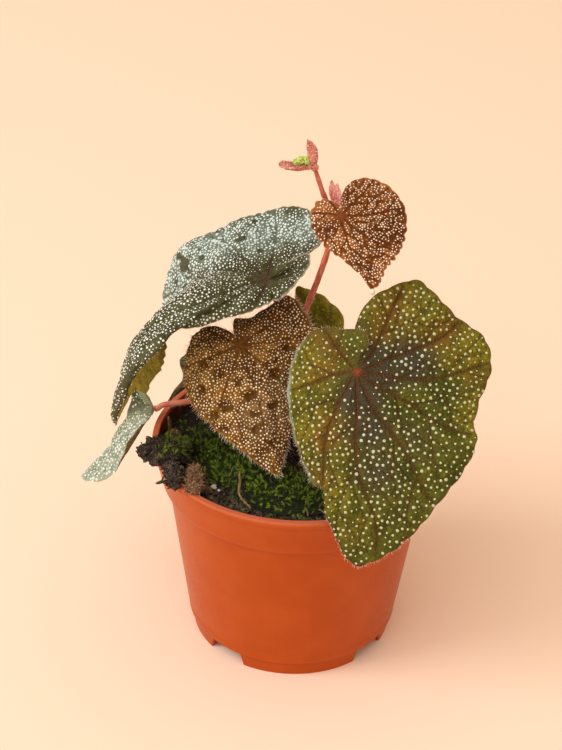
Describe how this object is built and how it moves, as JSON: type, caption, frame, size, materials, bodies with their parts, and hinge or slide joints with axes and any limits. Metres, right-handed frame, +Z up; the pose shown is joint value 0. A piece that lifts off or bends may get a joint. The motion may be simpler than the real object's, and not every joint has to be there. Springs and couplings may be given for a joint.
{
  "type": "potted begonia",
  "caption": "Spotted-leaf cane begonia in a round nursery pot, with broad lopsided leaves on arching stalks, a mossy soil surface and bark pieces at the rim.",
  "frame": {"origin": "on the ground under the middle of the whole plant's box, 10.6 mm from the pot's own axis, which stands at x = 8.0 mm, y = 7.0 mm", "axes": "+Z up along the pot's axis and the plant's height; -Y is the front, where the largest leaf hangs over the lip; +X to the plant's right as seen from the front"},
  "size_m": [0.1622, 0.1339, 0.2221],
  "materials": {
    "pot": "satin",
    "soil": "rough, moist potting soil",
    "moss": "soft live moss",
    "bark": "rough composted bark",
    "fibre": "loose coir fibre",
    "bark_chip": "rough",
    "old_stump": "dull",
    "dry_stick": "dry",
    "stem": "fleshy, finely haired",
    "leaf_olive": "quilted leaf with a satin sheen",
    "leaf_bronze": "quilted leaf, satin",
    "leaf_silver": "spotted leaf with a silver sheen",
    "leaf_rust": "spotted leaf, satin",
    "leaf_dull_olive": "matt underside",
    "leaf_deep_green": "matt",
    "young_leaf": "soft, hairy",
    "young_leaf_heart": "soft, crumpled",
    "stipule": "thin, translucent"
  },
  "bodies": {
    "root": {"pot": "pot", "soil": "soil", "moss_mat": "moss", "bark_clump_rim": "bark", "bark_clump_front": "bark", "fibre_tuft": "fibre", "bark_chip": "bark_chip", "old_stump": "old_stump", "dry_stick": "dry_stick", "cane": "stem", "stalk_right": "stem", "stalk_front": "stem", "stalk_silver": "stem", "stalk_top": "stem", "stalk_left": "stem", "stalk_back_right": "stem", "stalk_back_left": "stem", "blade_right": "leaf_olive", "blade_front": "leaf_bronze", "blade_silver": "leaf_silver", "blade_top": "leaf_rust", "blade_left": "leaf_silver", "blade_back_right": "leaf_dull_olive", "blade_back_left": "leaf_deep_green", "young_leaf": "young_leaf", "young_leaf_heart": "young_leaf_heart", "stipule": "stipule"}
  },
  "joints": []
}
